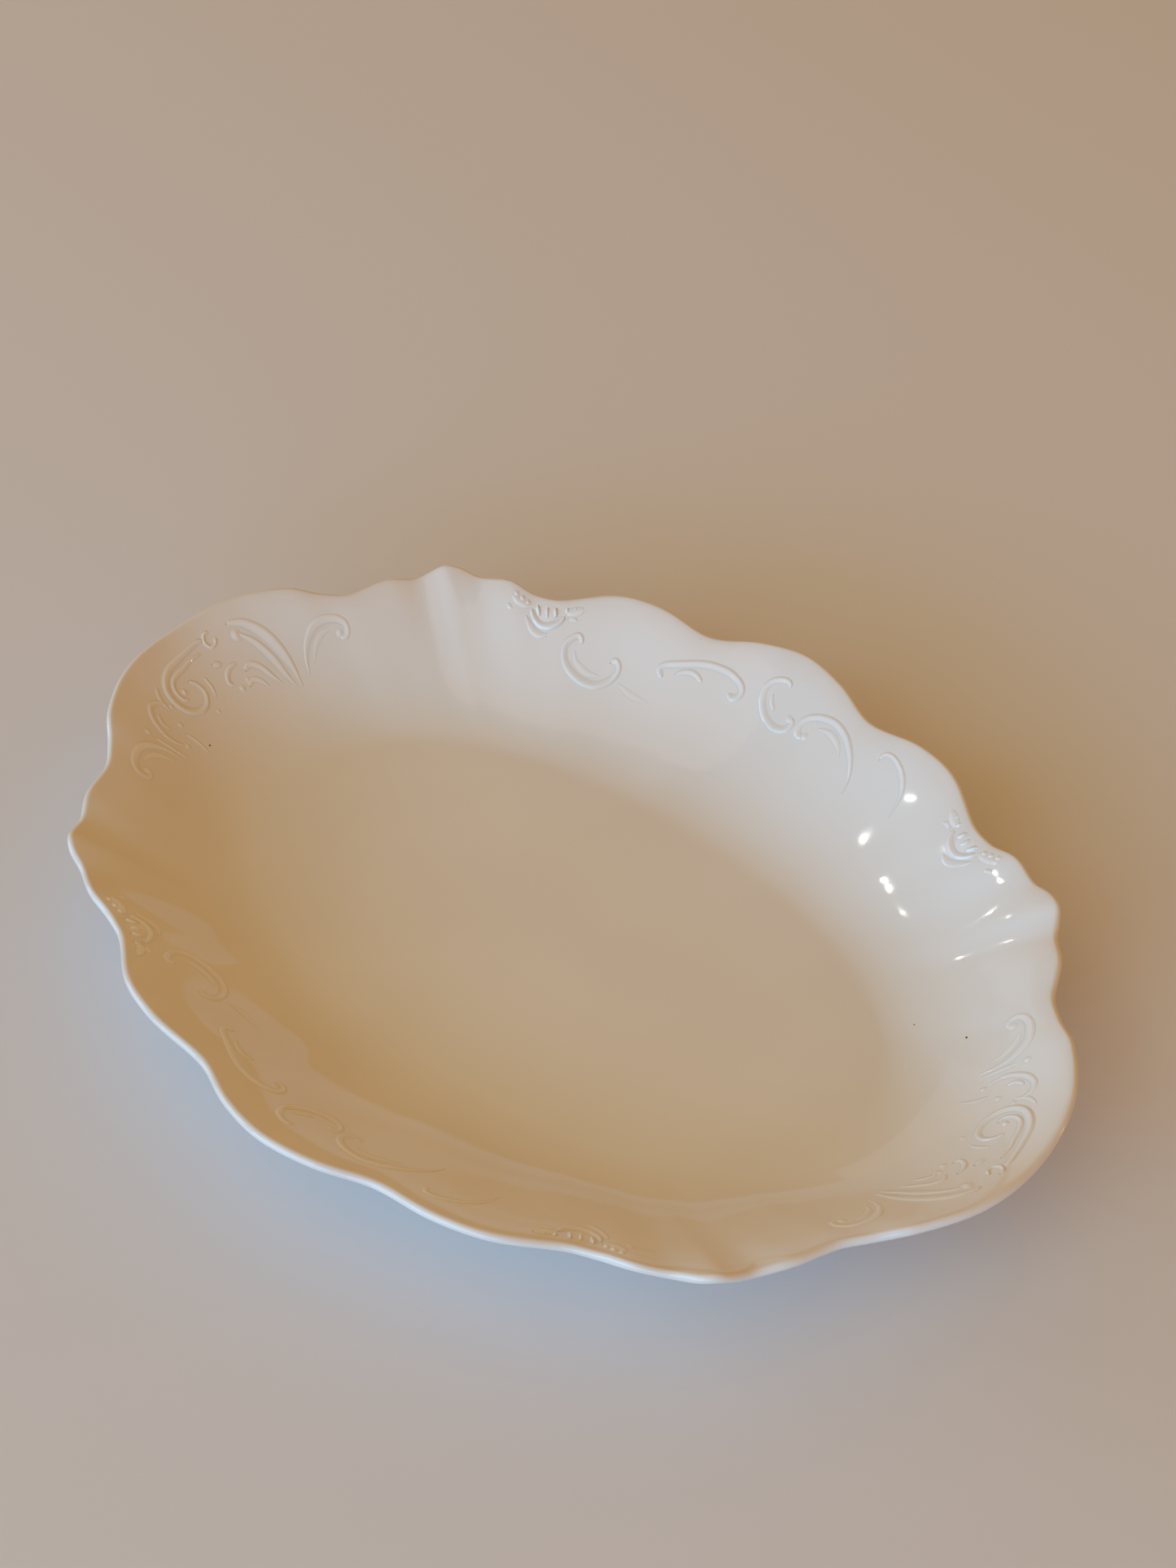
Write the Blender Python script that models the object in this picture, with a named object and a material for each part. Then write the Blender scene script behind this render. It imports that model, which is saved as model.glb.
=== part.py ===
"""Oval china serving platter with a scalloped lip, a foot ring and raised scroll ornament.

Metres, +Z up. The origin is at the centre of the foot's resting plane, and +X runs along the platter's length.
The body is a loft from an oval floor to a waved lip. The foot ring is a second loft under the floor, and
each ornament is a sprig: a low strip or fan of clay that follows the wall, a hair's breadth above it.
"""

import math

import bmesh
import bpy
from mathutils import Vector
from mathutils.bvhtree import BVHTree

MM = 0.001

# Body
FOOT_HEIGHT = 4.0 * MM
JOIN_GAP = 0.3 * MM  # between touching pieces
FLOOR_THICKNESS = 5.0 * MM
FLOOR_UNDERSIDE = FOOT_HEIGHT + JOIN_GAP
FLOOR_TOP = FLOOR_UNDERSIDE + FLOOR_THICKNESS
WELL_DEPTH = 30.5 * MM  # from the floor up to the middle of the lip, on average
LIP_RADIUS = 1.6 * MM
LIP_TILT = math.radians(28)  # slope of the wall where it meets the lip
LIP_STEPS = 6

# The flat floor is a superellipse, a little squarer than an ellipse.
FLOOR_HALF_LENGTH = 116.0 * MM
FLOOR_HALF_WIDTH = 66.0 * MM
FLOOR_POWER = 2.2
UNDERSIDE_SPREAD = 1.5 * MM  # how far the underside's flat runs past the floor

# Middle of the lip over one quarter, from the end of the length to the middle of the side.
# Each row is a crest or a notch of the scallops: degrees, radius in mm, height about the average in mm.
LIP_KNOTS = (
    (0.0, 176.4, 2.1),
    (8.0, 174.5, 3.2),
    (15.0, 167.6, 2.4),
    (18.5, 161.9, -0.7),
    (22.0, 158.1, -1.9),
    (27.5, 158.5, -0.5),
    (31.2, 157.2, -1.8),
    (33.3, 157.8, -0.3),
    (35.2, 158.0, 1.5),
    (37.2, 156.3, 0.7),
    (39.5, 152.3, -1.3),
    (43.7, 148.1, -0.7),
    (47.0, 142.5, -3.1),
    (51.0, 139.3, -3.1),
    (59.5, 140.1, 0.3),
    (66.0, 137.3, 0.3),
    (74.8, 131.1, -2.4),
    (83.0, 135.1, 0.1),
    (90.0, 137.2, 1.5),
)

BODY_SEGMENTS = 180
FLOOR_STATIONS = (0.5, 1.0)
WALL_STATIONS = (0.16, 0.32, 0.48, 0.64, 0.78, 0.9, 1.0)
UNDER_STATIONS = (1.0, 0.75, 0.5, 0.25, 0.0)

# Foot ring, on the same superellipse
FOOT_HALF_LENGTH = 106.0 * MM
FOOT_HALF_WIDTH = 57.0 * MM
FOOT_SEGMENTS = 72
FOOT_SECTION = (  # out from the ring's middle line, and up from the table
    (-3.2 * MM, FOOT_HEIGHT),
    (-2.0 * MM, 0.0),
    (2.0 * MM, 0.0),
    (3.2 * MM, FOOT_HEIGHT),
)

# Sprigs. Each is (plan points in mm, half width in mm at the widest, and the share of its length where that is).
# The side ones are on the far side and the corner ones at the far right, and both are mirrored. The end ones go
# to the left end by mirroring, and to the right end by turning that left end half round.
SPRIG_LIFT = 0.45 * MM
SPRIG_HEIGHT = 0.9 * MM
SPRIG_STEP = 2.0 * MM
SPRIG_END_SHARE = 0.35  # of the full width, at both ends
SPRIG_SECTION = ((-1.0, 0.0), (-0.6, 0.75), (0.0, 1.0), (0.6, 0.75), (1.0, 0.0))  # across, and share of the height
END_HOOK = (
    ((141.2, 46.8), (139.8, 48.8), (142.2, 50.4), (145.8, 48.2), (148.3, 43), (147.5, 37.6), (144.6, 33.4)),
    1.3,
    0.5,
)
END_SPRIGS = {
    "leaf": (((168.1, 17), (164.3, 22), (158.8, 25.3), (152.7, 26.7), (146.4, 26.8), (139.8, 25.9)), 2.4, 0.45),
    "scroll": (
        (
            (166.2, 9.4), (168, 10.6), (169.2, 7.5), (168.8, 2), (168.3, -4), (166.8, -11), (163.5, -15.8),
            (158.5, -17.6), (154.5, -15), (153.2, -11), (155, -7), (158.5, -6),
        ),
        1.5,
        0.5,
    ),
    "curl": (((156.5, 12), (160.2, 9.6), (160.6, 5.4), (156.8, 3.4), (151.8, 3)), 1.4, 0.4),
    "crook": (
        ((145.9, -26), (147.6, -28.4), (150.2, -30.4), (155.3, -30.6), (159.2, -28.2), (159.4, -25.4)),
        1.3,
        0.5,
    ),
}
SIDE_SPRIGS = {
    "c_scroll": (
        (
            (-72.4, 101.1), (-75.1, 102.2), (-77, 98), (-74.6, 94.6), (-67, 92.7), (-61.3, 93.6), (-57.4, 96.8),
            (-56.4, 101),
        ),
        1.4,
        0.5,
    ),
    "arch_left": (
        ((-41, 107.8), (-42.6, 110.2), (-37.8, 113.4), (-28, 118.4), (-20, 120), (-14, 118.7), (-13.6, 115.4)),
        1.5,
        0.6,
    ),
    "crest": (
        ((1.5, 126.6), (-3, 126.4), (-5.8, 122.5), (-3, 117), (3, 113.6), (8.4, 114), (9.2, 117.2)),
        1.4,
        0.5,
    ),
    "arch_right": (
        (
            (16.2, 113.8), (13.3, 115.3), (13.4, 119), (18.6, 121.6), (25, 121.2), (31, 118.3), (36.4, 113),
            (39.6, 107),
        ),
        1.5,
        0.4,
    ),
    "hook": (((46, 118.2), (49.8, 118.5), (54.3, 116), (58, 112), (60, 106.5)), 1.1, 0.3),
}
CORNER_SCROLL = (
    (
        (103.8, 95.4), (102.8, 98.4), (97.5, 96.8), (92.8, 94.8), (88.2, 94), (83.8, 96), (81.2, 100.2),
        (79.6, 104.4), (77.4, 108),
    ),
    1.3,
    0.5,
)

# Shell at each corner: a fan of ribs on a lobed outline
SHELL_CENTRE = (89.6, 102.4)
SHELL_RADIUS = 4.2 * MM
SHELL_LOBES = 5
SHELL_LOBE_DEPTH = 0.16
SHELL_HEIGHT = 1.2 * MM
SHELL_SPOKES = 20
SHELL_RINGS = ((1.0, 0.0), (0.9, 0.45), (0.6, 0.85))  # share of the radius, and share of the height

GLAZE = (0.86, 0.83, 0.78, 1.0)
RAISED_GLAZE = (0.88, 0.85, 0.80, 1.0)
BISQUE = (0.80, 0.74, 0.64, 1.0)
GLAZE_ROUGHNESS = 0.12
BISQUE_ROUGHNESS = 0.35
SHARP_ANGLE = math.radians(40)
ABOVE_ALL = 1.0  # a height over the whole platter, to look down from


def clear_scene():
    for old in list(bpy.data.objects):
        bpy.data.objects.remove(old, do_unlink=True)


def make_material(name, colour, roughness):
    material = bpy.data.materials.new(name)
    material.use_nodes = True
    shader = material.node_tree.nodes["Principled BSDF"]
    shader.inputs["Base Color"].default_value = colour
    shader.inputs["Roughness"].default_value = roughness
    shader.inputs["Metallic"].default_value = 0.0
    return material


def mirrored_knots():
    """The lip's knots all the way round, from the quarter that LIP_KNOTS gives."""
    half = list(LIP_KNOTS) + [(180 - a, r, h) for a, r, h in reversed(LIP_KNOTS[:-1])]
    return half + [(360 - a, r, h) for a, r, h in reversed(half[1:-1])]


def smooth_round(knots, degrees):
    """Radius and height at an angle, on a closed smooth curve through the knots."""
    count = len(knots)
    after = next((i for i, knot in enumerate(knots) if knot[0] > degrees), count)

    def knot(i):
        turn = 360.0 * (i // count)
        a, r, h = knots[i % count]
        return Vector((a + turn, r, h))

    before, start, end, beyond = (knot(after + k) for k in (-2, -1, 0, 1))
    span = end.x - start.x
    t = (degrees - start.x) / span
    leave = (end - before) / (end.x - before.x) * span
    arrive = (beyond - start) / (beyond.x - start.x) * span
    at = (
        (2 * t**3 - 3 * t**2 + 1) * start
        + (t**3 - 2 * t**2 + t) * leave
        + (3 * t**2 - 2 * t**3) * end
        + (t**3 - t**2) * arrive
    )
    return at.y * MM, at.z * MM


def oval_radius(angle, half_length, half_width):
    along = (abs(math.cos(angle)) / half_length) ** FLOOR_POWER
    across = (abs(math.sin(angle)) / half_width) ** FLOOR_POWER
    return (along + across) ** (-1 / FLOOR_POWER)


def wall_rise(s):
    """Share of the wall's height at share s of its width: flat at the floor, steepest past the middle."""
    return 1.5 * s**2 - 0.5 * s**4


def body_section(angle, knots):
    """Radius and height from the floor's middle, over the lip, to the middle of the underside."""
    floor = oval_radius(angle, FLOOR_HALF_LENGTH, FLOOR_HALF_WIDTH)
    radius, wave = smooth_round(knots, math.degrees(angle))
    height = FLOOR_TOP + WELL_DEPTH + wave
    out, up = LIP_RADIUS * math.sin(LIP_TILT), LIP_RADIUS * math.cos(LIP_TILT)

    section = [(floor * share, FLOOR_TOP) for share in FLOOR_STATIONS]
    for s in WALL_STATIONS:
        rise = (height + up - FLOOR_TOP) * wall_rise(s)
        section.append((floor + (radius - out - floor) * s, FLOOR_TOP + rise))
    for step in range(1, LIP_STEPS):
        turn = math.pi / 2 + LIP_TILT - math.pi * step / LIP_STEPS
        section.append((radius + LIP_RADIUS * math.cos(turn), height + LIP_RADIUS * math.sin(turn)))
    flat = floor + UNDERSIDE_SPREAD
    for s in UNDER_STATIONS:
        rise = (height - up - FLOOR_UNDERSIDE) * wall_rise(s)
        section.append((flat + (radius + out - flat) * s, FLOOR_UNDERSIDE + rise))
    section.append((floor * FLOOR_STATIONS[0], FLOOR_UNDERSIDE))
    return section


def join_rings(mesh, first, second):
    """A band of quads between two rings of the same count."""
    count = len(first)
    for i in range(count):
        j = (i + 1) % count
        mesh.faces.new((first[i], first[j], second[j], second[i]))


def finish(mesh, name, material, collection):
    bmesh.ops.recalc_face_normals(mesh, faces=mesh.faces)
    data = bpy.data.meshes.new(name)
    mesh.to_mesh(data)
    mesh.free()
    data.shade_smooth()
    data.set_sharp_from_angle(angle=SHARP_ANGLE)
    data.materials.append(material)
    thing = bpy.data.objects.new(name, data)
    collection.objects.link(thing)
    return thing


def platter_body(material, collection):
    knots = mirrored_knots()
    mesh = bmesh.new()
    angles = [math.tau * i / BODY_SEGMENTS for i in range(BODY_SEGMENTS)]
    sections = [body_section(angle, knots) for angle in angles]
    rings = []
    for k in range(len(sections[0])):
        ring = []
        for angle, section in zip(angles, sections):
            radius, height = section[k]
            ring.append(mesh.verts.new((radius * math.cos(angle), radius * math.sin(angle), height)))
        rings.append(ring)
    for first, second in zip(rings, rings[1:]):
        join_rings(mesh, first, second)
    for ring, height in ((rings[0], FLOOR_TOP), (rings[-1], FLOOR_UNDERSIDE)):
        middle = mesh.verts.new((0.0, 0.0, height))
        for i, vertex in enumerate(ring):
            mesh.faces.new((vertex, ring[(i + 1) % BODY_SEGMENTS], middle))
    return finish(mesh, "platter_body", material, collection)


def foot_ring(material, collection):
    mesh = bmesh.new()
    rings = []
    for out, height in FOOT_SECTION:
        ring = []
        for i in range(FOOT_SEGMENTS):
            angle = math.tau * i / FOOT_SEGMENTS
            radius = oval_radius(angle, FOOT_HALF_LENGTH + out, FOOT_HALF_WIDTH + out)
            ring.append(mesh.verts.new((radius * math.cos(angle), radius * math.sin(angle), height)))
        rings.append(ring)
    for first, second in zip(rings, rings[1:] + rings[:1]):
        join_rings(mesh, first, second)
    return finish(mesh, "foot_ring", material, collection)


def on_wall(tree, x, y, lift):
    """The point over plan place x, y that stands lift above the body."""
    hit = tree.ray_cast(Vector((x, y, ABOVE_ALL)), Vector((0.0, 0.0, -1.0)))[0]
    return hit + Vector((0.0, 0.0, lift))


def smooth_path(points, flip):
    """Points SPRIG_STEP apart along a smooth curve through the plan points, mirrored by flip."""
    ends = [Vector((x * flip[0], y * flip[1])) * MM for x, y in points]
    ends = [2 * ends[0] - ends[1]] + ends + [2 * ends[-1] - ends[-2]]
    path = []
    for a, b, c, d in zip(ends, ends[1:], ends[2:], ends[3:]):
        steps = max(2, round((c - b).length / SPRIG_STEP))
        for step in range(steps):
            t = step / steps
            path.append(
                0.5 * (2 * b + (c - a) * t + (2 * a - 5 * b + 4 * c - d) * t**2 + (3 * b - a - 3 * c + d) * t**3)
            )
    return path + [ends[-2]]


def strip_sprig(name, sprig, flip, tree, material, collection):
    """A low strip with a rounded back, swept along the wall and thinned towards both ends."""
    points, half_width, widest = sprig
    path = smooth_path(points, flip)
    mesh = bmesh.new()
    rings = []
    for i, place in enumerate(path):
        share = i / (len(path) - 1)
        reach = share / widest if share < widest else (1 - share) / (1 - widest)
        full = SPRIG_END_SHARE + (1 - SPRIG_END_SHARE) * math.sin(math.pi / 2 * reach)
        along = (path[min(i + 1, len(path) - 1)] - path[max(i - 1, 0)]).normalized()
        side = Vector((-along.y, along.x)) * half_width * MM * full
        ring = []
        for across, rise in SPRIG_SECTION:
            at = place + side * across
            lift = SPRIG_LIFT + SPRIG_HEIGHT * rise * full
            ring.append(mesh.verts.new(on_wall(tree, at.x, at.y, lift)))
        rings.append(ring)
    for first, second in zip(rings, rings[1:]):
        join_rings(mesh, first, second)
    mesh.faces.new(rings[0])
    mesh.faces.new(rings[-1])
    return finish(mesh, name, material, collection)


def shell_sprig(name, flip, tree, material, collection):
    """A ribbed fan on a lobed outline, domed over a flat back."""
    centre = Vector((SHELL_CENTRE[0] * flip[0], SHELL_CENTRE[1] * flip[1])) * MM
    mesh = bmesh.new()
    rings = []
    for share, rise in SHELL_RINGS:
        ring = []
        for i in range(SHELL_SPOKES):
            angle = math.tau * i / SHELL_SPOKES
            lobe = 1 - SHELL_LOBE_DEPTH * (0.5 + 0.5 * math.cos(SHELL_LOBES * angle))
            at = centre + Vector((math.cos(angle), math.sin(angle))) * SHELL_RADIUS * share * lobe
            lift = SPRIG_LIFT + SHELL_HEIGHT * rise * lobe
            ring.append(mesh.verts.new(on_wall(tree, at.x, at.y, lift)))
        rings.append(ring)
    for first, second in zip(rings, rings[1:]):
        join_rings(mesh, first, second)
    for ring, rise in ((rings[0], 0.0), (rings[-1], 1.0)):
        middle = mesh.verts.new(on_wall(tree, centre.x, centre.y, SPRIG_LIFT + SHELL_HEIGHT * rise))
        for i, vertex in enumerate(ring):
            mesh.faces.new((vertex, ring[(i + 1) % SHELL_SPOKES], middle))
    return finish(mesh, name, material, collection)


def add_sprigs(tree, material, collection):
    """The same relief on both long sides and at all corners, mirrored, and on both ends, turned half round."""
    for y_name, y_side in (("far", 1), ("near", -1)):
        for kind, sprig in SIDE_SPRIGS.items():
            strip_sprig(f"{y_name}_{kind}", sprig, (1, y_side), tree, material, collection)
        for x_name, x_side in (("left", -1), ("right", 1)):
            corner = f"{y_name}_{x_name}_corner"
            flip = (x_side, y_side)
            shell_sprig(f"{corner}_shell", flip, tree, material, collection)
            strip_sprig(f"{corner}_scroll", CORNER_SCROLL, flip, tree, material, collection)
            strip_sprig(f"{y_name}_{x_name}_end_hook", END_HOOK, flip, tree, material, collection)
    for x_name, side in (("left", 1), ("right", -1)):
        for kind, sprig in END_SPRIGS.items():
            strip_sprig(f"{x_name}_end_{kind}", sprig, (-side, side), tree, material, collection)


def main():
    clear_scene()
    platter = bpy.data.collections.new("serving_platter")
    bpy.context.scene.collection.children.link(platter)
    glaze = make_material("glaze", GLAZE, GLAZE_ROUGHNESS)
    body = platter_body(glaze, platter)
    foot_ring(make_material("foot_glaze", BISQUE, BISQUE_ROUGHNESS), platter)
    bpy.context.view_layer.update()
    tree = BVHTree.FromObject(body, bpy.context.evaluated_depsgraph_get())
    add_sprigs(tree, make_material("relief_glaze", RAISED_GLAZE, GLAZE_ROUGHNESS), platter)


main()
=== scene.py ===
"""The looks of a china serving platter: a scalloped glazed shell, its foot ring and its raised scroll relief.

Metres, +Z up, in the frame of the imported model. The shell repeats the design's formulas at a fine step, and
each relief piece is laid on the shell's wall with edges that sink into it, as clay does under a glaze.
"""

import math

import bpy
import numpy as np
from mathutils import Matrix, Vector


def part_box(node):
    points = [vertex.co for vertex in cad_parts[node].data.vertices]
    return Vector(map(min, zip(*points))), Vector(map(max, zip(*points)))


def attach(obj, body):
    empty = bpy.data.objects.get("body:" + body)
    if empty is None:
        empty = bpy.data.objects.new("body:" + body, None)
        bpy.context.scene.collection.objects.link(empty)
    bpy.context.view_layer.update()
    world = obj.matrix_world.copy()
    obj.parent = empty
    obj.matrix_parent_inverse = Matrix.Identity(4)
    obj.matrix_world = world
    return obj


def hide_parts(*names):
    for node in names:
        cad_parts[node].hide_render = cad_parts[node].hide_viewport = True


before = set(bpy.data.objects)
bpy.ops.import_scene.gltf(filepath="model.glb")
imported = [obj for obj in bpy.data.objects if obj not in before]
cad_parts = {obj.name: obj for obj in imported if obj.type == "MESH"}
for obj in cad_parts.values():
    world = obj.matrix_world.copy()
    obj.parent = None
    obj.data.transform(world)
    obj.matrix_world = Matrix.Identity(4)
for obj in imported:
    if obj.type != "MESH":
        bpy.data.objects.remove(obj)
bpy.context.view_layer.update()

MM = 0.001

# The design's own sizes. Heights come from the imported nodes.
FOOT_LOW, FOOT_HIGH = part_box("foot_ring")
BODY_LOW, BODY_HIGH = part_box("platter_body")
FLOOR_THICKNESS = 5.0 * MM
FLOOR_UNDERSIDE = BODY_LOW.z
FLOOR_TOP = FLOOR_UNDERSIDE + FLOOR_THICKNESS
WELL_DEPTH = 30.5 * MM
LIP_RADIUS = 1.55 * MM
LIP_TILT = math.radians(28)
FLOOR_HALF_LENGTH = 116.0 * MM
FLOOR_HALF_WIDTH = 66.0 * MM
FLOOR_POWER = 2.2
UNDERSIDE_SPREAD = 1.5 * MM

# Middle of the lip over one quarter: degrees, radius in mm, height about the average in mm.
LIP_KNOTS = (
    (0.0, 176.4, 2.1),
    (8.0, 174.5, 3.2),
    (15.0, 167.6, 2.4),
    (18.5, 161.9, -0.7),
    (22.0, 158.1, -1.9),
    (27.5, 158.5, -0.5),
    (31.2, 157.2, -1.8),
    (33.3, 157.8, -0.3),
    (35.2, 158.0, 1.5),
    (37.2, 156.3, 0.7),
    (39.5, 152.3, -1.3),
    (43.7, 148.1, -0.7),
    (47.0, 142.5, -3.1),
    (51.0, 139.3, -3.1),
    (59.5, 140.1, 0.3),
    (66.0, 137.3, 0.3),
    (74.8, 131.1, -2.4),
    (83.0, 135.1, 0.1),
    (90.0, 137.2, 1.5),
)

SHELL_SEGMENTS = 640
FLOOR_RINGS = 12
WALL_RINGS = 56
LIP_RINGS = 12
UNDER_RINGS = 40

# Relief, in plan. A stroke is (points in mm, half width, height, share of the width at its start and at its
# end, lean of its ridge towards the left of its run). A bead is (x, y, radius, height), in mm.
# Side pieces are given at the far side and corner ones at the far right, and are mirrored to the others. End
# pieces are mirrored to the left end, and that end turned half round makes the right one.
END_HOOK = (
    (
        ((141.2, 46.8), (139.8, 48.8), (142.2, 50.4), (145.8, 48.2), (148.3, 43), (147.5, 37.6),
         (144.6, 33.4), (140.5, 30.5)),
        1.7, 0.38, 0.7, 0.1, 0.4,
    ),
    (((144.6, 46), (145.6, 42), (144.6, 37.6), (141.6, 34.2)), 1.4, 0.16, 0.4, 0.1, 0.0),
    (141.4, 47.3, 1.4, 0.42),
)
END_PIECES = {
    "leaf": (
        (
            ((168.1, 17), (164.3, 22), (158.8, 25.1), (152.7, 26.4), (146.4, 26.6), (139.8, 25.9)),
            2.6, 0.55, 0.35, 0.1, -0.5,
        ),
        (((163.6, 18.4), (158.6, 21.2), (152, 22.8), (146, 23.4), (140.6, 24.6)), 1.9, 0.42, 0.4, 0.1, -0.45),
        (((154.6, 12.4), (155.2, 15), (153, 17.5), (149.4, 19), (144.5, 21)), 1.3, 0.4, 0.8, 0.1, -0.3),
        (((150.6, 10.2), (151.4, 12.8), (149.4, 15), (146, 16.6)), 1.1, 0.32, 0.8, 0.1, -0.3),
        (163.9, 17.6, 1.9, 0.55),
    ),
    "scroll": (
        (
            ((168.8, 6.2), (169.3, 3.5), (168.9, -1), (168.2, -6), (166.8, -12), (163.6, -16.6),
             (159.6, -18.2), (155.6, -16.6), (153.4, -12.6), (153.9, -8.4), (156.6, -5.9),
             (159.8, -6.6), (161.6, -8.8)),
            1.6, 0.7, 0.6, 0.5, 0.35,
        ),
        (
            ((166.2, 2.6), (166.3, -2), (165.4, -6.5), (164.7, -10.5), (163.4, -13.6), (160.8, -15.2),
             (158, -14.5), (157.3, -12.4)),
            1.1, 0.55, 0.4, 0.8, 0.2,
        ),
        (
            ((167.4, 10.9), (165.9, 9.3), (166.1, 7.1), (168.2, 6.4), (170, 8), (169.8, 10.2)),
            0.9, 0.55, 0.8, 0.8, 0.0,
        ),
        (((164.5, -20.6), (160.4, -22.4), (156.8, -22)), 1.1, 0.3, 0.3, 0.6, 0.3),
        (159.6, -12.4, 1.1, 0.65),
    ),
    "curl": (
        (((158, 11.8), (158.2, 8.8), (157.2, 6.2), (155.1, 4.8), (153.7, 6.2)), 1.2, 0.5, 0.4, 0.8, 0.2),
        (((162, 3.2), (161.2, 5), (160.6, 7)), 1.2, 0.5, 0.7, 0.7, 0.0),
        (((153.8, -2.9), (157, -1.9), (160.6, -2.2)), 0.9, 0.35, 0.3, 0.7, 0.0),
        (151.6, 7.6, 1.2, 0.4),
        (152.4, 11.2, 1.1, 0.35),
        (150.4, -5.6, 1.0, 0.3),
    ),
    "crook": (
        (
            ((145.9, -26), (147.8, -28.6), (150.6, -30.3), (155.3, -30.4), (159, -28.4),
             (159.9, -25.4), (158.8, -22.6)),
            1.3, 0.45, 0.4, 0.5, -0.35,
        ),
        (((151.6, -26.8), (153.8, -28.2), (156.8, -27.6)), 1.0, 0.35, 0.4, 0.7, -0.2),
        (((141.7, -28.2), (144.2, -30.2), (147.2, -32.4), (150.4, -34.8)), 1.0, 0.35, 0.2, 0.6, -0.2),
        (((140.6, -19.6), (145.4, -20.6), (149.2, -23)), 1.0, 0.3, 0.2, 0.6, 0.0),
        (145.4, -25.4, 1.0, 0.4),
        (151.8, -22.2, 1.1, 0.4),
        (157.4, -20.7, 0.9, 0.35),
        (152.6, -36.2, 1.1, 0.4),
    ),
}
CORNER_PIECES = {
    "shell": (
        (89.4, 101.2, 3.4, 0.3),
        (
            ((83.6, 104.8), (83.9, 102.2), (85.9, 99.6), (89, 98.1), (92.2, 98.4), (95, 99.9)),
            1.5, 0.75, 0.6, 0.6, -0.35,
        ),
        (((85.7, 102.5), (87, 103.8), (88.1, 105)), 1.0, 0.85, 0.7, 0.8, 0.0),
        (((88.2, 100.5), (89.5, 102), (90.6, 103.6)), 1.0, 0.9, 0.6, 0.8, 0.0),
        (((91, 99.6), (92.6, 100.8), (94.2, 102)), 1.0, 0.85, 0.6, 0.8, 0.0),
    ),
    "scroll": (
        (((95.4, 97), (92.4, 95.7), (89.8, 95), (87, 95.3), (84.6, 97)), 1.6, 0.4, 0.3, 0.3, 0.3),
        (((84, 105.9), (82, 107.4), (80, 109.2), (78.6, 110.5)), 1.9, 0.42, 0.7, 0.5, 0.3),
        (((84.6, 107.4), (83.8, 106.5), (83.1, 105.8)), 1.0, 0.6, 0.8, 0.6, 0.0),
        (((82, 109), (81.2, 108.2)), 1.0, 0.55, 0.8, 0.6, 0.0),
        (((81.9, 104.4), (80.4, 105.4), (78.2, 105.8)), 1.2, 0.25, 0.4, 0.4, 0.0),
        (((95.9, 100.4), (98.4, 99.6), (101, 99.2), (103.6, 99.3)), 1.9, 0.42, 0.7, 0.5, -0.3),
        (97.4, 100.5, 1.1, 0.6),
        (99.9, 100.4, 1.1, 0.6),
        (102.6, 100.2, 1.0, 0.5),
        (((103.6, 95.9), (102.2, 95.5), (100.6, 95.6)), 1.0, 0.3, 0.5, 0.5, 0.0),
    ),
}
SIDE_PIECES = {
    "c_scroll": (
        (
            ((-72.4, 101.1), (-75.1, 102.3), (-77, 98), (-74.8, 94.4), (-70, 92.6), (-64, 92.7),
             (-59.6, 94.6), (-56.7, 98.2), (-56.4, 101.8), (-58.6, 103.3), (-60, 102)),
            1.6, 0.5, 0.75, 0.85, -0.35,
        ),
        (((-73.6, 98.4), (-70.8, 95.8), (-65, 95.2), (-60.6, 97)), 1.5, 0.2, 0.3, 0.3, 0.0),
        (((-53.5, 98.6), (-47.5, 97.9), (-40, 98.8)), 1.4, 0.14, 0.3, 0.2, 0.0),
    ),
    "arch_left": (
        (
            ((-40.7, 107.8), (-43, 109.4), (-41.8, 111.4), (-37.6, 113.8), (-31, 117.4), (-26, 119.2),
             (-20, 120), (-14.8, 118.8), (-13, 116.6), (-14.6, 114.6), (-16.8, 115)),
            1.6, 0.5, 0.75, 0.85, 0.35,
        ),
        (((-37.4, 110.6), (-34.5, 112.8), (-31, 113.8), (-27.2, 113)), 1.3, 0.38, 0.3, 0.7, 0.3),
    ),
    "crest": (
        (
            ((2, 126.2), (-0.9, 126.9), (-4.4, 125.3), (-5.8, 122.5), (-4.9, 119.4), (-2.4, 116.4),
             (1, 114.2), (4.8, 113.2), (8.3, 114), (9.4, 116.2), (7.9, 117.6)),
            1.5, 0.5, 0.8, 0.85, -0.35,
        ),
        (((-2.8, 122), (-1.4, 119.4), (1.4, 117.2)), 1.1, 0.32, 0.6, 0.6, 0.0),
        (7.9, 117.2, 1.3, 0.45),
    ),
    "arch_right": (
        (
            ((16, 113.8), (13.4, 115), (12.9, 117.6), (14.6, 120), (18.6, 121.5), (24, 121.5), (29.2, 119.3),
             (33.4, 116), (37, 112), (39.6, 107.5), (40.4, 103)),
            1.6, 0.5, 0.85, 0.1, 0.35,
        ),
        (((19, 118.2), (24, 118.4), (28.8, 116.2), (32.2, 112.8)), 1.4, 0.22, 0.3, 0.1, 0.0),
        (16.5, 114.4, 1.3, 0.45),
    ),
    "hook": (
        (
            ((45.6, 116.6), (46.6, 118.9), (49.8, 118.7), (54.1, 116.2), (57.8, 112.4),
             (59.8, 108), (60, 102)),
            1.2, 0.42, 0.8, 0.1, 0.3,
        ),
    ),
}

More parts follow.
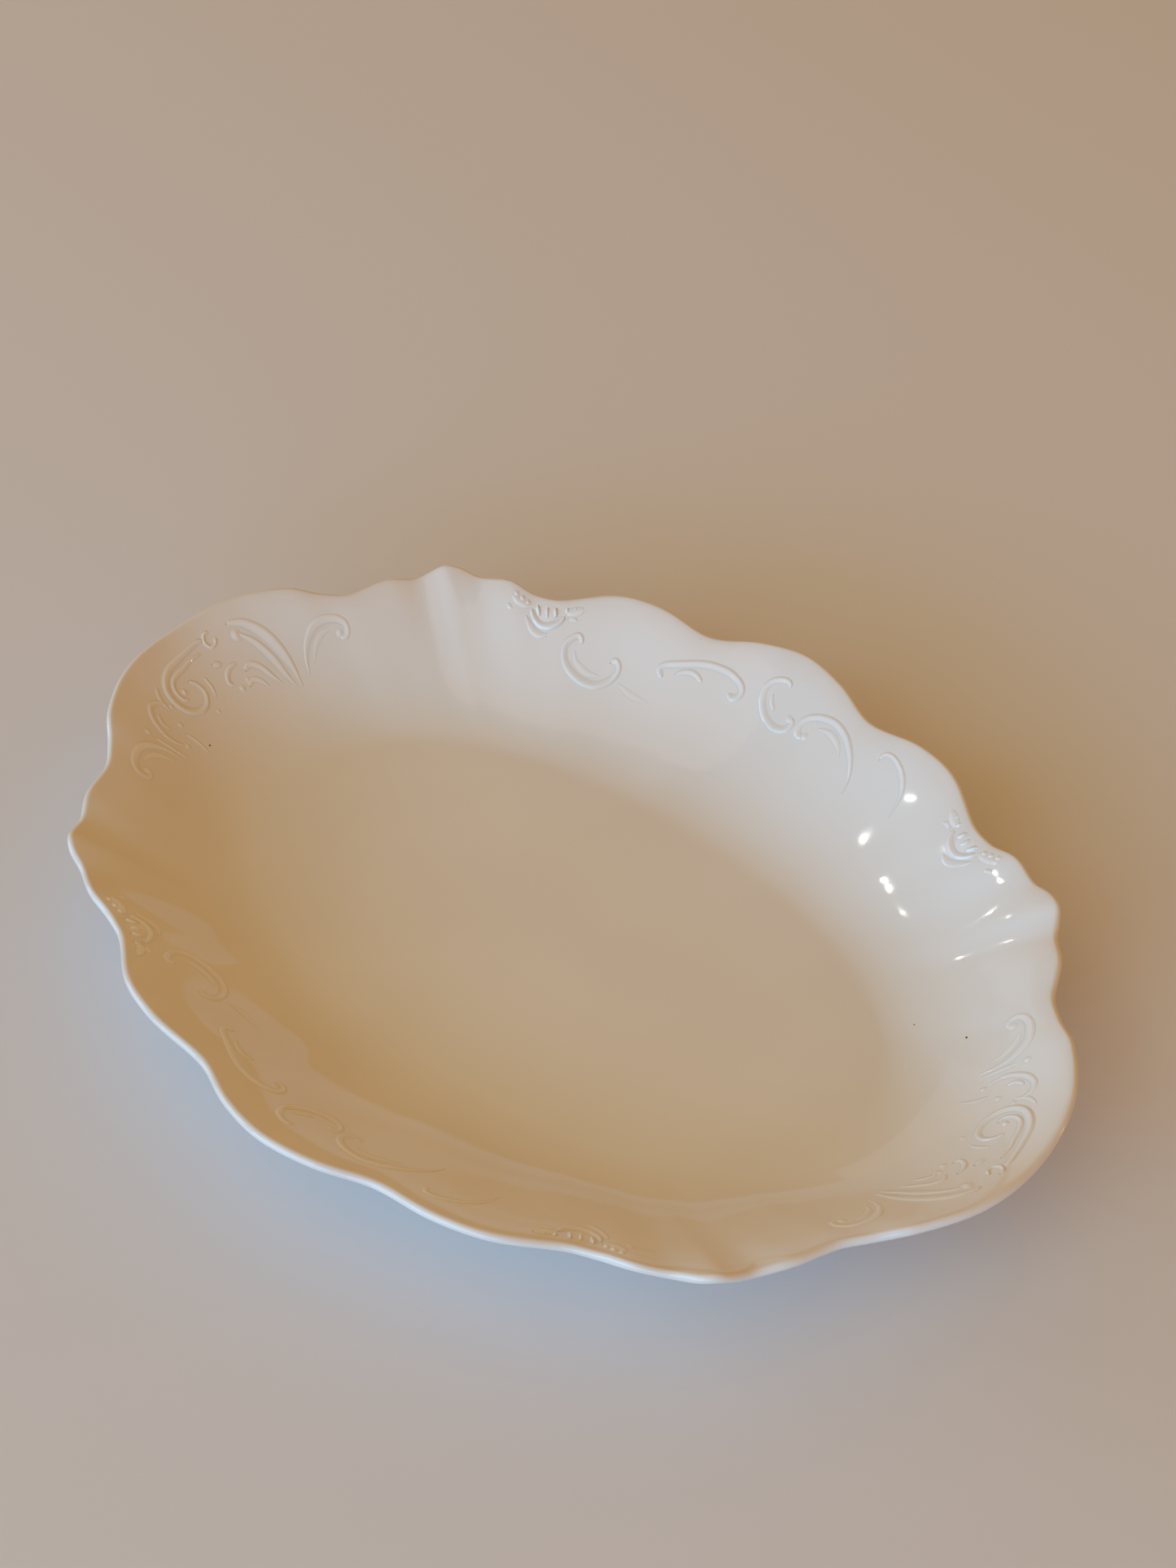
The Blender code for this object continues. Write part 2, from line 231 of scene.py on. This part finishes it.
STROKE_STEP = 0.6 * MM
STROKE_ACROSS = 17  # points across a stroke's back
BEAD_AROUND = 28
BEAD_RINGS = 9
BEAD_VALUES = 4  # how many values a bead has, where a stroke has more
RELIEF_BURY = 0.8 * MM  # how deep a relief piece reaches into the wall
RELIEF_SINK = 0.009 * MM  # how far its visible edge lies under the glaze
GLAZE_FILL = 0.78  # the share of the moulded height that the pooled glaze leaves
GLAZE_SPREAD = 1.42  # how much wider the glaze makes each ridge

FOOT_SEGMENTS = 360
FOOT_HALF_THICKNESS = 3.2  # mm
# The foot's outer half in section: mm out from its middle, and share of its height.
FOOT_PROFILE = ((1.7, 0.0), (2.2, 0.1), (2.6, 0.35), (3.0, 0.8), (FOOT_HALF_THICKNESS, 1.0))

# Glaze
BODY_WHITE = (0.80, 0.775, 0.725)
BODY_CREAM = (0.77, 0.735, 0.675)
PAINTED_WARM_LIP_LIGHT = (0.66, 0.55, 0.42)  # painted warm light: a tan tint all round the lip, standing in for warm room light on its edge
RIDGE_GLAZE_AND_HIGHLIGHT = (0.85, 0.83, 0.79)  # whiter on the relief's ridge tops: partly glaze that draws thin there, partly a painted highlight
POOLED_GLAZE_AND_SHADE = (0.62, 0.62, 0.55)  # darker at the foot of the relief: partly glaze that lies thick there, partly painted shade in the creases
BISQUE_PALE = (0.74, 0.69, 0.60)
BISQUE_WORN = (0.52, 0.45, 0.36)
SPECK_BROWN = (0.07, 0.05, 0.04)
# Iron specks: plan place and radius, in mm.
SPECKS = ((129.4, 42.7, 0.5), (-143.2, -17.4, 0.45), (110.9, 43.4, 0.3))
DUST_SCALE = 110.0
DUST_RARITY = 0.93  # the share of the dust's cells that stay clean
GLAZE_ROUGHNESS = 0.045
BISQUE_ROUGHNESS = 0.75
GLAZE_IOR = 1.52
WAVE_SCALE, WAVE_DEPTH = 38.0, 0.09 * MM
PEEL_SCALE, PEEL_DEPTH = 420.0, 0.002 * MM

# The camera looks down at the platter from the near right. Its place is measured from the middle of the lip.
CAMERA_PLACE = Vector((0.3092, -0.4101, 0.5409))
CAMERA_AIM = Vector((-0.4243, 0.5780, -0.6971))
CAMERA_ROLL = math.radians(3.25)
CAMERA_LENS = 53.3
CAMERA_SENSOR = 36.0

# Stage: warm light from the whole room, and cool light from a low, wide window in front and to the left.
FLOOR_SIZE = 5.0
FLOOR_GAP = 0.2 * MM
FLOOR_PAINT = (0.71, 0.71, 0.73)
FLOOR_ROUGHNESS = 0.8
ROOM_GLOW = (0.455, 0.254, 0.075)
BACKDROP = (0.60, 0.58, 0.55)  # what the camera sees above the floor
LIGHT_DISTANCE = 3.0
# Name, azimuth and elevation in degrees, size in m, watts of red, green and blue.
LIGHTS = (
    ("window", 264, 12, (3.2, 1.2), (18.0, 39.6, 68.0)),
    ("window_side", 210, 14, (1.4, 1.2), (7.4, 12.2, 18.0)),
    ("window_end", 300, 14, (1.0, 1.2), (2.4, 7.6, 16.5)),
    ("window_top", 264, 36, (1.8, 1.2), (4.8, 11.7, 12.5)),
    ("ceiling", 262, 64, (2.0, 2.0), (7.3, 5.5, 4.6)),
    ("right_fill", 0, 14, (1.6, 1.2), (1.6, 0.9, 0.5)),
    ("back_fill", 150, 14, (2.0, 1.2), (1.9, 2.6, 3.0)),
    ("warm_lamp", 41, 9, (0.09, 0.09), (4.0, 1.8, 0.6)),
    ("tube_lamp", 202, 49.5, (0.08, 0.015), (0.75, 0.72, 0.68)),
    ("bulb", 180.5, 34.3, (0.03, 0.025), (0.45, 0.43, 0.41)),
)


def mirrored_knots():
    """The lip's knots all the way round, from the quarter that LIP_KNOTS gives."""
    half = list(LIP_KNOTS) + [(180 - a, r, h) for a, r, h in reversed(LIP_KNOTS[:-1])]
    return half + [(360 - a, r, h) for a, r, h in reversed(half[1:-1])]


def smooth_round(knots, degrees):
    """Radius and height at an angle, on a closed smooth curve through the knots."""
    count = len(knots)
    after = next((i for i, knot in enumerate(knots) if knot[0] > degrees), count)

    def knot(i):
        a, r, h = knots[i % count]
        return Vector((a + 360.0 * (i // count), r, h))

    before, start, end, beyond = (knot(after + k) for k in (-2, -1, 0, 1))
    span = end.x - start.x
    t = (degrees - start.x) / span
    leave = (end - before) / (end.x - before.x) * span
    arrive = (beyond - start) / (beyond.x - start.x) * span
    at = (
        (2 * t**3 - 3 * t**2 + 1) * start
        + (t**3 - 2 * t**2 + t) * leave
        + (3 * t**2 - 2 * t**3) * end
        + (t**3 - t**2) * arrive
    )
    return at.y * MM, at.z * MM


TABLE_STEPS = 3600
TABLE_DEGREES = np.arange(TABLE_STEPS + 1) * 360.0 / TABLE_STEPS
KNOTS = mirrored_knots()
LIP_TABLE = np.array([smooth_round(KNOTS, float(d) % 360.0) for d in TABLE_DEGREES])


def lip_middle(angle):
    """Radius and height of the middle of the lip at these angles, as arrays."""
    degrees = np.degrees(angle) % 360.0
    radius = np.interp(degrees, TABLE_DEGREES, LIP_TABLE[:, 0])
    wave = np.interp(degrees, TABLE_DEGREES, LIP_TABLE[:, 1])
    return radius, FLOOR_TOP + WELL_DEPTH + wave


def oval_radius(angle, half_length, half_width):
    """Radius of the floor's kind of oval at these angles."""
    along = (np.abs(np.cos(angle)) / half_length) ** FLOOR_POWER
    across = (np.abs(np.sin(angle)) / half_width) ** FLOOR_POWER
    return (along + across) ** (-1 / FLOOR_POWER)


def wall_rise(s):
    """Share of the wall's height at a share of its way out."""
    return 1.5 * s**2 - 0.5 * s**4


def wall_height(x, y):
    """Height of the inside of the platter over plan places, as arrays."""
    angle = np.arctan2(y, x)
    floor = oval_radius(angle, FLOOR_HALF_LENGTH, FLOOR_HALF_WIDTH)
    radius, height = lip_middle(angle)
    edge = radius - LIP_RADIUS * math.sin(LIP_TILT)
    top = height + LIP_RADIUS * math.cos(LIP_TILT)
    s = np.clip((np.hypot(x, y) - floor) / (edge - floor), 0.0, 1.0)
    return FLOOR_TOP + (top - FLOOR_TOP) * wall_rise(s)


def wall_points(x, y, lift):
    """Points that stand lift off the inside of the platter, along its normal."""
    step = 0.3 * MM
    slope_x = (wall_height(x + step, y) - wall_height(x - step, y)) / (2 * step)
    slope_y = (wall_height(x, y + step) - wall_height(x, y - step)) / (2 * step)
    normal = np.stack([-slope_x, -slope_y, np.ones_like(x)], axis=-1)
    normal /= np.linalg.norm(normal, axis=-1, keepdims=True)
    return np.stack([x, y, wall_height(x, y)], axis=-1) + normal * np.asarray(lift)[..., None]


def mesh_object(name, points, faces, materials):
    """A smooth mesh that rides on the part's one body."""
    data = bpy.data.meshes.new(name)
    data.from_pydata([tuple(map(float, p)) for p in points], [], faces)
    data.validate()
    data.shade_smooth()
    for material in materials:
        data.materials.append(material)
    piece = bpy.data.objects.new(name, data)
    bpy.context.scene.collection.objects.link(piece)
    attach(piece, "root")
    return piece


def point_share(piece, name, values):
    """Stores a value for each point, for the material to read."""
    attribute = piece.data.attributes.new(name, "FLOAT", "POINT")
    attribute.data.foreach_set("value", values.astype(np.float32))


def band_faces(first, second, count):
    """Quads between two closed rings of vertices, given by their first index."""
    return [
        (first + i, first + (i + 1) % count, second + (i + 1) % count, second + i) for i in range(count)
    ]


def shell_sections(angle):
    """Rings of (radius, height, lip share) from the floor's middle over the lip to the underside's middle."""
    floor = oval_radius(angle, FLOOR_HALF_LENGTH, FLOOR_HALF_WIDTH)
    radius, height = lip_middle(angle)
    out, up = LIP_RADIUS * math.sin(LIP_TILT), LIP_RADIUS * math.cos(LIP_TILT)
    level = np.ones_like(angle)
    rings = [(floor * k / FLOOR_RINGS, level * FLOOR_TOP, level * 0) for k in range(1, FLOOR_RINGS + 1)]
    for k in range(1, WALL_RINGS + 1):
        s = k / WALL_RINGS
        rise = (height + up - FLOOR_TOP) * wall_rise(s)
        rings.append((floor + (radius - out - floor) * s, FLOOR_TOP + rise, level * s**14))
    for k in range(1, LIP_RINGS):
        turn = math.pi / 2 + LIP_TILT - math.pi * k / LIP_RINGS
        rings.append((radius + LIP_RADIUS * math.cos(turn), height + LIP_RADIUS * math.sin(turn), level))
    flat = floor + UNDERSIDE_SPREAD
    for k in range(UNDER_RINGS + 1):
        s = 1 - k / UNDER_RINGS
        rise = (height - up - FLOOR_UNDERSIDE) * wall_rise(s)
        rings.append((flat + (radius + out - flat) * s, FLOOR_UNDERSIDE + rise, level * s**14))
    for k in range(FLOOR_RINGS - 1, 0, -1):
        rings.append((flat * k / FLOOR_RINGS, level * FLOOR_UNDERSIDE, level * 0))
    return rings


def platter_shell(materials):
    """The body as one closed shell: floor, wall, lip and underside."""
    angle = np.arange(SHELL_SEGMENTS) * math.tau / SHELL_SEGMENTS
    rings = shell_sections(angle)
    points = [np.stack([r * np.cos(angle), r * np.sin(angle), z], axis=-1) for r, z, _ in rings]
    points = np.concatenate(points + [[[0, 0, FLOOR_TOP], [0, 0, FLOOR_UNDERSIDE]]])
    faces = []
    for k in range(len(rings) - 1):
        faces += band_faces((k + 1) * SHELL_SEGMENTS, k * SHELL_SEGMENTS, SHELL_SEGMENTS)
    last = (len(rings) - 1) * SHELL_SEGMENTS
    middle = len(rings) * SHELL_SEGMENTS
    for i in range(SHELL_SEGMENTS):
        j = (i + 1) % SHELL_SEGMENTS
        faces.append((i, j, middle))
        faces.append((last + j, last + i, middle + 1))
    shell = mesh_object("platter_shell", points, faces, materials)
    point_share(shell, "lip", np.concatenate([lip for _, _, lip in rings] + [[0.0, 0.0]]))
    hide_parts("platter_body")
    return shell


def foot_piece(materials):
    """The foot ring: a rounded wall that leans in a little, with a flat, bare edge to stand on."""
    half_length = FOOT_HIGH.x - FOOT_HALF_THICKNESS * MM
    half_width = FOOT_HIGH.y - FOOT_HALF_THICKNESS * MM
    height = FLOOR_UNDERSIDE + 0.2 * MM
    section = [(-out, share * height) for out, share in reversed(FOOT_PROFILE)]
    section += [(0.0, 0.0)]
    section += [(out, share * height) for out, share in FOOT_PROFILE]
    angle = np.arange(FOOT_SEGMENTS) * math.tau / FOOT_SEGMENTS
    points = []
    for out, z in section:
        r = oval_radius(angle, half_length + out * MM, half_width + out * MM)
        points.append(np.stack([r * np.cos(angle), r * np.sin(angle), np.full_like(angle, z)], axis=-1))
    faces = []
    for k in range(len(section)):
        following = (k + 1) % len(section)
        faces += band_faces(k * FOOT_SEGMENTS, following * FOOT_SEGMENTS, FOOT_SEGMENTS)
    foot = mesh_object("foot_ring_glazed", np.concatenate(points), faces, materials)
    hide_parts("foot_ring")
    return foot


def smooth_path(points, flip):
    """Points STROKE_STEP apart on a smooth curve through plan points, mirrored by flip."""
    ends = np.array(points, dtype=float) * np.array(flip) * MM
    ends = np.concatenate([[2 * ends[0] - ends[1]], ends, [2 * ends[-1] - ends[-2]]])
    path = []
    for a, b, c, d in zip(ends, ends[1:], ends[2:], ends[3:]):
        steps = max(2, round(float(np.linalg.norm(c - b)) / STROKE_STEP))
        for t in np.arange(steps) / steps:
            cubic = 3 * b - a - 3 * c + d
            path.append(0.5 * (2 * b + (c - a) * t + (2 * a - 5 * b + 4 * c - d) * t**2 + cubic * t**3))
    return np.array(path + [ends[-2]])


def stroke_mesh(stroke, flip):
    """Points, faces and shares of the height, for a closed strip with a soft ridge and rounded ends."""
    points, half_width, height, start, end, lean = stroke
    half_width, height = half_width * GLAZE_SPREAD * MM, height * GLAZE_FILL * MM
    path = smooth_path(points, flip)
    along = np.gradient(path, axis=0)
    along /= np.linalg.norm(along, axis=1, keepdims=True)
    side = np.stack([-along[:, 1], along[:, 0]], axis=1)
    run = np.concatenate([[0], np.cumsum(np.linalg.norm(np.diff(path, axis=0), axis=1))])
    share = run / run[-1]
    first = start + (1 - start) * np.sin(np.minimum(share * 2, 1) * math.pi / 2)
    second = end + (1 - end) * np.sin(np.minimum((1 - share) * 2, 1) * math.pi / 2)
    swell = np.where(share < 0.5, first, second)
    cap = half_width * np.array([start, end])
    from_end = np.clip(np.minimum(run / cap[0], (run[-1] - run) / cap[1]), 0, 1)
    width = half_width * swell * np.sqrt(np.maximum(1 - (1 - from_end) ** 2, 0.004))
    rise = height * np.sqrt(width / half_width)
    across = np.linspace(-1, 1, STROKE_ACROSS)
    ridge = lean * flip[0] * flip[1]
    reach = np.where(across > ridge, (across - ridge) / (1 - ridge), (ridge - across) / (1 + ridge))
    place = path[:, None, :] + side[:, None, :] * (width[:, None] * across)[..., None]
    lift = rise[:, None] * np.cos(reach * math.pi / 2) ** 4 - RELIEF_SINK
    back = wall_points(place[..., 0], place[..., 1], lift)
    inner = place[:, [0, -1], :]
    under = wall_points(inner[..., 0], inner[..., 1], np.full(inner.shape[:2], -RELIEF_BURY))
    rows = np.concatenate([back, under[:, ::-1]], axis=1)
    count = rows.shape[1]
    faces = []
    for i in range(len(path) - 1):
        faces += band_faces(i * count, (i + 1) * count, count)
    faces.append(tuple(range(count)))
    faces.append(tuple(range(len(path) * count - 1, (len(path) - 1) * count - 1, -1)))
    high = np.concatenate([(lift + RELIEF_SINK) / height, np.zeros((len(path), 2))], axis=1)
    return rows.reshape(-1, 3), faces, high.reshape(-1)


def bead_mesh(bead, flip):
    """Points, faces and shares of the height, for a closed low dome that stands on the wall."""
    x, y, radius, height = bead
    centre = np.array([x * flip[0], y * flip[1]]) * MM
    radius, height = radius * GLAZE_SPREAD * MM, height * GLAZE_FILL * MM
    angle = np.arange(BEAD_AROUND) * math.tau / BEAD_AROUND
    points = []
    for k in range(-1, BEAD_RINGS):
        share = 1 - max(k, 0) / BEAD_RINGS
        lift = -RELIEF_BURY if k < 0 else height * math.cos(share * math.pi / 2) ** 3 - RELIEF_SINK
        x_around = centre[0] + radius * share * np.cos(angle)
        y_around = centre[1] + radius * share * np.sin(angle)
        points.append(wall_points(x_around, y_around, np.full(BEAD_AROUND, lift)))
    points.append(wall_points(centre[:1], centre[1:], np.full(1, height - RELIEF_SINK)))
    faces = [tuple(range(BEAD_AROUND - 1, -1, -1))]
    for k in range(BEAD_RINGS):
        faces += band_faces(k * BEAD_AROUND, (k + 1) * BEAD_AROUND, BEAD_AROUND)
    last, top = BEAD_RINGS * BEAD_AROUND, (BEAD_RINGS + 1) * BEAD_AROUND
    faces += [(last + i, last + (i + 1) % BEAD_AROUND, top) for i in range(BEAD_AROUND)]
    high = np.repeat([0.0] + [k / BEAD_RINGS for k in range(BEAD_RINGS)], BEAD_AROUND)
    return np.concatenate(points), faces, np.append(high, 1.0)


def relief_piece(cad_node, shapes, flip, materials):
    """One visible piece for a relief node: its strokes and beads, mirrored by flip."""
    points, faces, ridge = [], [], []
    for shape in shapes:
        make = bead_mesh if len(shape) == BEAD_VALUES else stroke_mesh
        part_points, part_faces, part_ridge = make(shape, flip)
        first = sum(len(p) for p in points)
        points.append(part_points)
        ridge.append(part_ridge)
        faces += [tuple(first + i for i in face) for face in part_faces]
    piece = mesh_object(f"{cad_node}_relief", np.concatenate(points), faces, materials)
    point_share(piece, "ridge", np.concatenate(ridge))
    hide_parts(cad_node)


def add_relief(materials):
    """Every relief piece, at both long sides, the four corners and both ends."""
    for y_name, y_side in (("far", 1), ("near", -1)):
        for kind, shapes in SIDE_PIECES.items():
            relief_piece(f"{y_name}_{kind}", shapes, (1, y_side), materials)
        for x_name, x_side in (("left", -1), ("right", 1)):
            for kind, shapes in CORNER_PIECES.items():
                relief_piece(f"{y_name}_{x_name}_corner_{kind}", shapes, (x_side, y_side), materials)
            relief_piece(f"{y_name}_{x_name}_end_hook", END_HOOK, (x_side, y_side), materials)
    for x_name, side in (("left", 1), ("right", -1)):
        for kind, shapes in END_PIECES.items():
            relief_piece(f"{x_name}_end_{kind}", shapes, (-side, side), materials)


def node(tree, kind, **inputs):
    """A new node with constant inputs set by name."""
    made = tree.nodes.new(kind)
    for name, value in inputs.items():
        made.inputs[name.replace("_", " ")].default_value = value
    return made


def noise(tree, place, scale, detail=2.0):
    """Soft noise from 0 to 1 that is fixed to the object."""
    made = node(tree, "ShaderNodeTexNoise", Scale=scale, Detail=detail)
    tree.links.new(place.outputs["Object"], made.inputs["Vector"])
    return made.outputs["Fac"]


def blend(tree, share, first, second):
    """A colour between two colours, each a tuple or an output."""
    made = tree.nodes.new("ShaderNodeMix")
    made.data_type = "RGBA"
    tree.links.new(share, made.inputs["Factor"])
    for socket, colour in (("A", first), ("B", second)):
        target = next(i for i in made.inputs if i.name == socket and i.type == "RGBA")
        if isinstance(colour, tuple):
            target.default_value = (*colour, 1.0)
        else:
            tree.links.new(colour, target)
    return next(o for o in made.outputs if o.type == "RGBA")


def ramp(tree, value, low, high, to_low=0.0, to_high=1.0):
    """A value mapped smoothly from one range to another."""
    made = node(tree, "ShaderNodeMapRange", From_Min=low, From_Max=high, To_Min=to_low, To_Max=to_high)
    made.interpolation_type = "SMOOTHSTEP"
    tree.links.new(value, made.inputs["Value"])
    return made.outputs["Result"]


def combine(tree, kind, first, second):
    """One sum on two values, each a number or an output."""
    made = tree.nodes.new("ShaderNodeMath")
    made.operation = kind
    for i, value in enumerate((first, second)):
        if isinstance(value, float):
            made.inputs[i].default_value = value
        else:
            tree.links.new(value, made.inputs[i])
    return made.outputs["Value"]


def speck(tree, place, point, radius):
    """1 inside a small spot at a point of the object, and 0 outside."""
    away = tree.nodes.new("ShaderNodeVectorMath")
    away.operation = "DISTANCE"
    away.inputs[1].default_value = point
    tree.links.new(place.outputs["Object"], away.inputs[0])
    return ramp(tree, away.outputs["Value"], radius * 0.6, radius, 1.0, 0.0)


def start_material(name):
    """A new material, its node tree, its shader and its object coordinates."""
    material = bpy.data.materials.new(name)
    material.use_nodes = True
    tree = material.node_tree
    return material, tree, tree.nodes["Principled BSDF"], tree.nodes.new("ShaderNodeTexCoord")


def glaze_bump(tree, place, shader):
    """The slow waviness and fine orange peel of a dipped glaze."""
    wave = node(tree, "ShaderNodeBump", Strength=1.0, Distance=WAVE_DEPTH)
    tree.links.new(noise(tree, place, WAVE_SCALE), wave.inputs["Height"])
    peel = node(tree, "ShaderNodeBump", Strength=1.0, Distance=PEEL_DEPTH)
    tree.links.new(noise(tree, place, PEEL_SCALE), peel.inputs["Height"])
    tree.links.new(wave.outputs["Normal"], peel.inputs["Normal"])
    tree.links.new(peel.outputs["Normal"], shader.inputs["Normal"])


def glaze_material(name, attribute, tint, tint_share, pool_and_shade_share):
    """Clear glaze on a warm white body. As the attribute rises it takes a tint: painted warm light on the
    lip, and on the relief a whiter ridge top that is partly thin glaze and partly a painted highlight. Where
    the attribute is low the glaze darkens, partly from pooled glaze and partly as painted shade.
    """
    material, tree, shader, place = start_material(name)
    colour = blend(tree, ramp(tree, noise(tree, place, 9.0, 3.0), 0.35, 0.65), BODY_CREAM, BODY_WHITE)
    share = node(tree, "ShaderNodeAttribute")
    share.attribute_name = attribute
    patchy = ramp(tree, noise(tree, place, 60.0, 3.0), 0.3, 0.7, 0.4 * tint_share, tint_share)
    # On the shell this tint is painted warm light on the lip; on the relief it whitens the ridge tops, partly
    # thin glaze and partly a painted highlight.
    colour = blend(tree, combine(tree, "MULTIPLY", share.outputs["Fac"], patchy), colour, tint)
    # Darker at the foot of each ridge: partly pooled glaze, partly painted shade in the crease.
    ridge_start = ramp(tree, share.outputs["Fac"], 0.01, 0.12)
    ridge_side = ramp(tree, share.outputs["Fac"], 0.12, 0.45, pool_and_shade_share, 0.0)
    pooled_and_shaded = combine(tree, "MULTIPLY", ridge_start, ridge_side)
    colour = blend(tree, pooled_and_shaded, colour, POOLED_GLAZE_AND_SHADE)
    for x, y, radius in SPECKS:
        point = wall_points(np.array(x * MM), np.array(y * MM), 0.0)
        colour = blend(tree, speck(tree, place, point, radius * MM), colour, SPECK_BROWN)
    dust = node(tree, "ShaderNodeTexVoronoi", Scale=DUST_SCALE)
    tree.links.new(place.outputs["Object"], dust.inputs["Vector"])
    rare = node(tree, "ShaderNodeSeparateColor")
    tree.links.new(dust.outputs["Color"], rare.inputs["Color"])
    spot = ramp(tree, dust.outputs["Distance"], 0.012, 0.022, 0.55, 0.0)
    chosen = combine(tree, "GREATER_THAN", rare.outputs["Red"], DUST_RARITY)
    colour = blend(tree, combine(tree, "MULTIPLY", spot, chosen), colour, SPECK_BROWN)
    tree.links.new(colour, shader.inputs["Base Color"])
    gloss = ramp(tree, noise(tree, place, 30.0, 3.0), 0.3, 0.7, GLAZE_ROUGHNESS, GLAZE_ROUGHNESS + 0.03)
    tree.links.new(gloss, shader.inputs["Roughness"])
    shader.inputs["IOR"].default_value = GLAZE_IOR
    glaze_bump(tree, place, shader)
    return material


def foot_material(name):
    """Glazed sides, and a bare edge where the glaze is wiped off for firing."""
    material, tree, shader, place = start_material(name)
    axes = node(tree, "ShaderNodeSeparateXYZ")
    tree.links.new(place.outputs["Object"], axes.inputs["Vector"])
    ragged = combine(tree, "MULTIPLY", noise(tree, place, 140.0, 3.0), 0.7 * MM)
    bare = ramp(tree, combine(tree, "SUBTRACT", axes.outputs["Z"], ragged), 0.1 * MM, 0.5 * MM, 1.0, 0.0)
    worn = blend(tree, ramp(tree, noise(tree, place, 45.0, 4.0), 0.4, 0.7), BISQUE_PALE, BISQUE_WORN)
    tree.links.new(blend(tree, bare, BODY_WHITE, worn), shader.inputs["Base Color"])
    tree.links.new(ramp(tree, bare, 0.0, 1.0, GLAZE_ROUGHNESS, BISQUE_ROUGHNESS), shader.inputs["Roughness"])
    grain = node(tree, "ShaderNodeBump", Distance=0.03 * MM)
    tree.links.new(bare, grain.inputs["Strength"])
    tree.links.new(noise(tree, place, 1400.0, 2.0), grain.inputs["Height"])
    tree.links.new(grain.outputs["Normal"], shader.inputs["Normal"])
    return material


def add_camera():
    """The main view. The camera leans by its roll about the line that it looks along."""
    data = bpy.data.cameras.new("camera")
    data.sensor_width = CAMERA_SENSOR
    data.lens = CAMERA_LENS
    camera = bpy.data.objects.new("camera", data)
    forward = CAMERA_AIM.normalized()
    right = forward.cross(Vector((0, 0, 1))).normalized()
    up = right.cross(forward)
    across = right * math.cos(CAMERA_ROLL) + up * math.sin(CAMERA_ROLL)
    upright = up * math.cos(CAMERA_ROLL) - right * math.sin(CAMERA_ROLL)
    turn = Matrix((across, upright, -forward)).transposed().to_4x4()
    place = CAMERA_PLACE + Vector((0, 0, FLOOR_TOP + WELL_DEPTH))
    camera.matrix_world = Matrix.Translation(place) @ turn
    bpy.context.scene.collection.objects.link(camera)
    bpy.context.scene.camera = camera


def area_light(name, azimuth, elevation, size, watts):
    """A soft light that faces the platter. Its strength is given for red, green and blue."""
    data = bpy.data.lights.new(name, "AREA")
    data.shape = "RECTANGLE"
    data.size, data.size_y = size
    data.energy = max(watts)
    data.color = [share / max(watts) for share in watts]
    light = bpy.data.objects.new(name, data)
    a, e = math.radians(azimuth), math.radians(elevation)
    toward = Vector((math.cos(a) * math.cos(e), math.sin(a) * math.cos(e), math.sin(e)))
    light.location = toward * LIGHT_DISTANCE
    light.rotation_euler = toward.to_track_quat("Z", "Y").to_euler()
    light.visible_camera = False
    bpy.context.scene.collection.objects.link(light)


def add_stage():
    """The plain floor, the lights, the room's glow and the pale backdrop."""
    bpy.ops.mesh.primitive_plane_add(size=FLOOR_SIZE, location=(0, 0, -FLOOR_GAP))
    floor = bpy.context.active_object
    floor.name = "studio_floor"
    material = bpy.data.materials.new("studio_floor")
    material.use_nodes = True
    shader = material.node_tree.nodes["Principled BSDF"]
    shader.inputs["Base Color"].default_value = (*FLOOR_PAINT, 1)
    shader.inputs["Roughness"].default_value = FLOOR_ROUGHNESS
    floor.data.materials.append(material)
    world = bpy.data.worlds.new("studio")
    bpy.context.scene.world = world
    world.use_nodes = True
    tree = world.node_tree
    rays = tree.nodes.new("ShaderNodeLightPath")
    colour = blend(tree, rays.outputs["Is Camera Ray"], ROOM_GLOW, BACKDROP)
    tree.links.new(colour, tree.nodes["Background"].inputs["Color"])
    for light in LIGHTS:
        area_light(*light)
    bpy.context.scene.view_settings.view_transform = "Standard"


# The shell's lip is tinted tan with painted warm light.
platter_shell([glaze_material("glaze", "lip", PAINTED_WARM_LIP_LIGHT, 0.35, 0.0)])
foot_piece([foot_material("foot_glaze")])
# The relief's ridge tops are painted whiter and its feet darker: partly the glaze, partly a painted highlight
# and painted shade.
add_relief([glaze_material("relief_glaze", "ridge", RIDGE_GLAZE_AND_HIGHLIGHT, 0.8, 0.5)])
add_camera()
add_stage()
